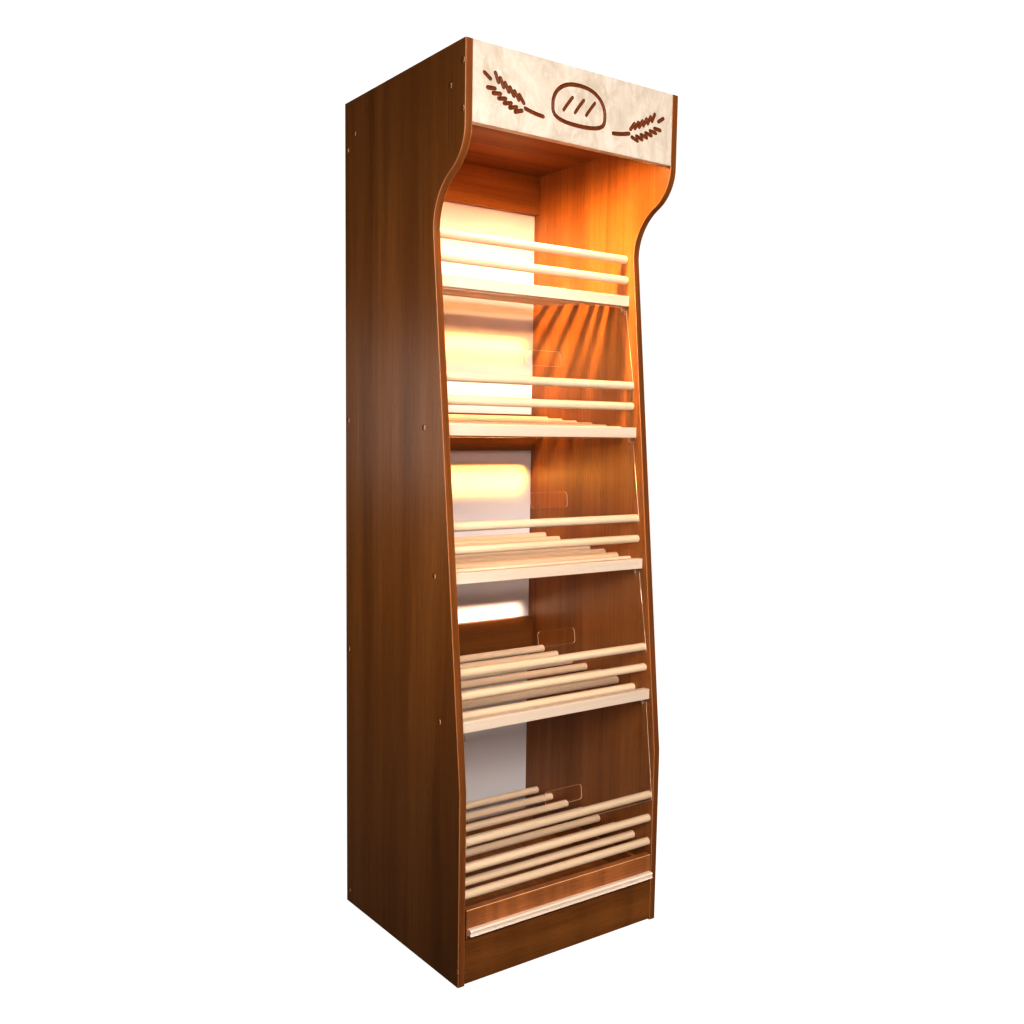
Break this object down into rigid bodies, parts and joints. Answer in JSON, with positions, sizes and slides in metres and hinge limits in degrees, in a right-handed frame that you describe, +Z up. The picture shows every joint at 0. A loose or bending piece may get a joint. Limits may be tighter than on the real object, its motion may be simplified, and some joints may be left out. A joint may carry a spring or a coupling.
{
  "type": "bakery bread rack",
  "caption": "Tall shop rack for bread: shaped side panels, sloping dowel shelves with guard rods, hinged clear flaps, a crumb drawer and a lit hood.",
  "frame": {"origin": "on the floor, under the middle of the rack's overall box", "axes": "+Z up, -Y the front that shoppers face, +X to the right seen along +Y"},
  "size_m": [0.6, 0.531, 2],
  "materials": {
    "walnut_board": "satin walnut-pattern melamine",
    "edge_banding": "satin edging",
    "birch_board": "pale birch, matt",
    "birch_dowel": "turned birch, satin",
    "birch_rail": "planed birch, satin",
    "white_hardboard": "white lacquered hardboard",
    "drawer_board": "satin melamine",
    "zinc_steel": "zinc plated",
    "white_steel": "white powder coat",
    "lamp_glass": "frosted tube",
    "white_plastic": "moulded",
    "clear_acrylic": "clear, polished edges",
    "acrylic_block": "clear"
  },
  "bodies": {
    "root": {"side_panel_left": "walnut_board", "side_panel_right": "walnut_board", "edge_band_left": "edge_banding", "edge_band_right": "edge_banding", "header_board": "birch_board", "ceiling_panel": "walnut_board", "back_rail_top": "walnut_board", "back_rail_upper": "walnut_board", "back_rail_lower": "walnut_board", "back_rail_bottom": "walnut_board", "back_panel": "white_hardboard", "plinth_board": "walnut_board", "shelf_rail_1": "birch_rail", "shelf_rail_2": "birch_rail", "shelf_rail_3": "birch_rail", "shelf_rail_4": "birch_rail", "floor_dowels_1": "birch_dowel", "floor_dowels_2": "birch_dowel", "floor_dowels_3": "birch_dowel", "floor_dowels_4": "birch_dowel", "floor_dowels_5": "birch_dowel", "guard_rod_upper_1": "birch_dowel", "guard_rod_lower_1": "birch_dowel", "guard_rod_upper_2": "birch_dowel", "guard_rod_lower_2": "birch_dowel", "guard_rod_upper_3": "birch_dowel", "guard_rod_lower_3": "birch_dowel", "guard_rod_upper_4": "birch_dowel", "guard_rod_lower_4": "birch_dowel", "base_front_rod": "birch_dowel", "base_guard_lower": "birch_dowel", "base_guard_upper": "birch_dowel", "flap_pins": "zinc_steel", "slide_outer_left": "zinc_steel", "slide_outer_right": "zinc_steel", "lamp_housing": "white_steel", "lamp_tube": "lamp_glass", "lamp_holders": "white_plastic"},
    "flap_1": {"flap_1": "clear_acrylic", "flap_hinge_blocks_1": "acrylic_block"},
    "flap_2": {"flap_2": "clear_acrylic", "flap_hinge_blocks_2": "acrylic_block"},
    "flap_3": {"flap_3": "clear_acrylic", "flap_hinge_blocks_3": "acrylic_block"},
    "flap_4": {"flap_4": "clear_acrylic", "flap_hinge_blocks_4": "acrylic_block"},
    "drawer": {"drawer_front": "walnut_board", "drawer_side_left": "drawer_board", "drawer_side_right": "drawer_board", "drawer_back": "drawer_board", "drawer_bottom": "drawer_board", "drawer_handle": "birch_rail", "slide_inner_left": "zinc_steel", "slide_inner_right": "zinc_steel"}
  },
  "joints": [
    {"name": "flap_1_hinge", "type": "hinge", "parent": "root", "child": "flap_1", "pos_m": [0, -0.11135, 1.524], "axis": [-1, 0, 0], "range_deg": [0, 85]},
    {"name": "flap_2_hinge", "type": "hinge", "parent": "root", "child": "flap_2", "pos_m": [0, -0.14893, 1.202], "axis": [-1, 0, 0], "range_deg": [0, 85]},
    {"name": "flap_3_hinge", "type": "hinge", "parent": "root", "child": "flap_3", "pos_m": [0, -0.18302, 0.88], "axis": [-1, 0, 0], "range_deg": [0, 85]},
    {"name": "flap_4_hinge", "type": "hinge", "parent": "root", "child": "flap_4", "pos_m": [0, -0.2201, 0.558], "axis": [-1, 0, 0], "range_deg": [0, 85]},
    {"name": "drawer_slide", "type": "slide", "parent": "root", "child": "drawer", "axis": [0, -1, 0], "range_m": [0, 0.34]}
  ]
}
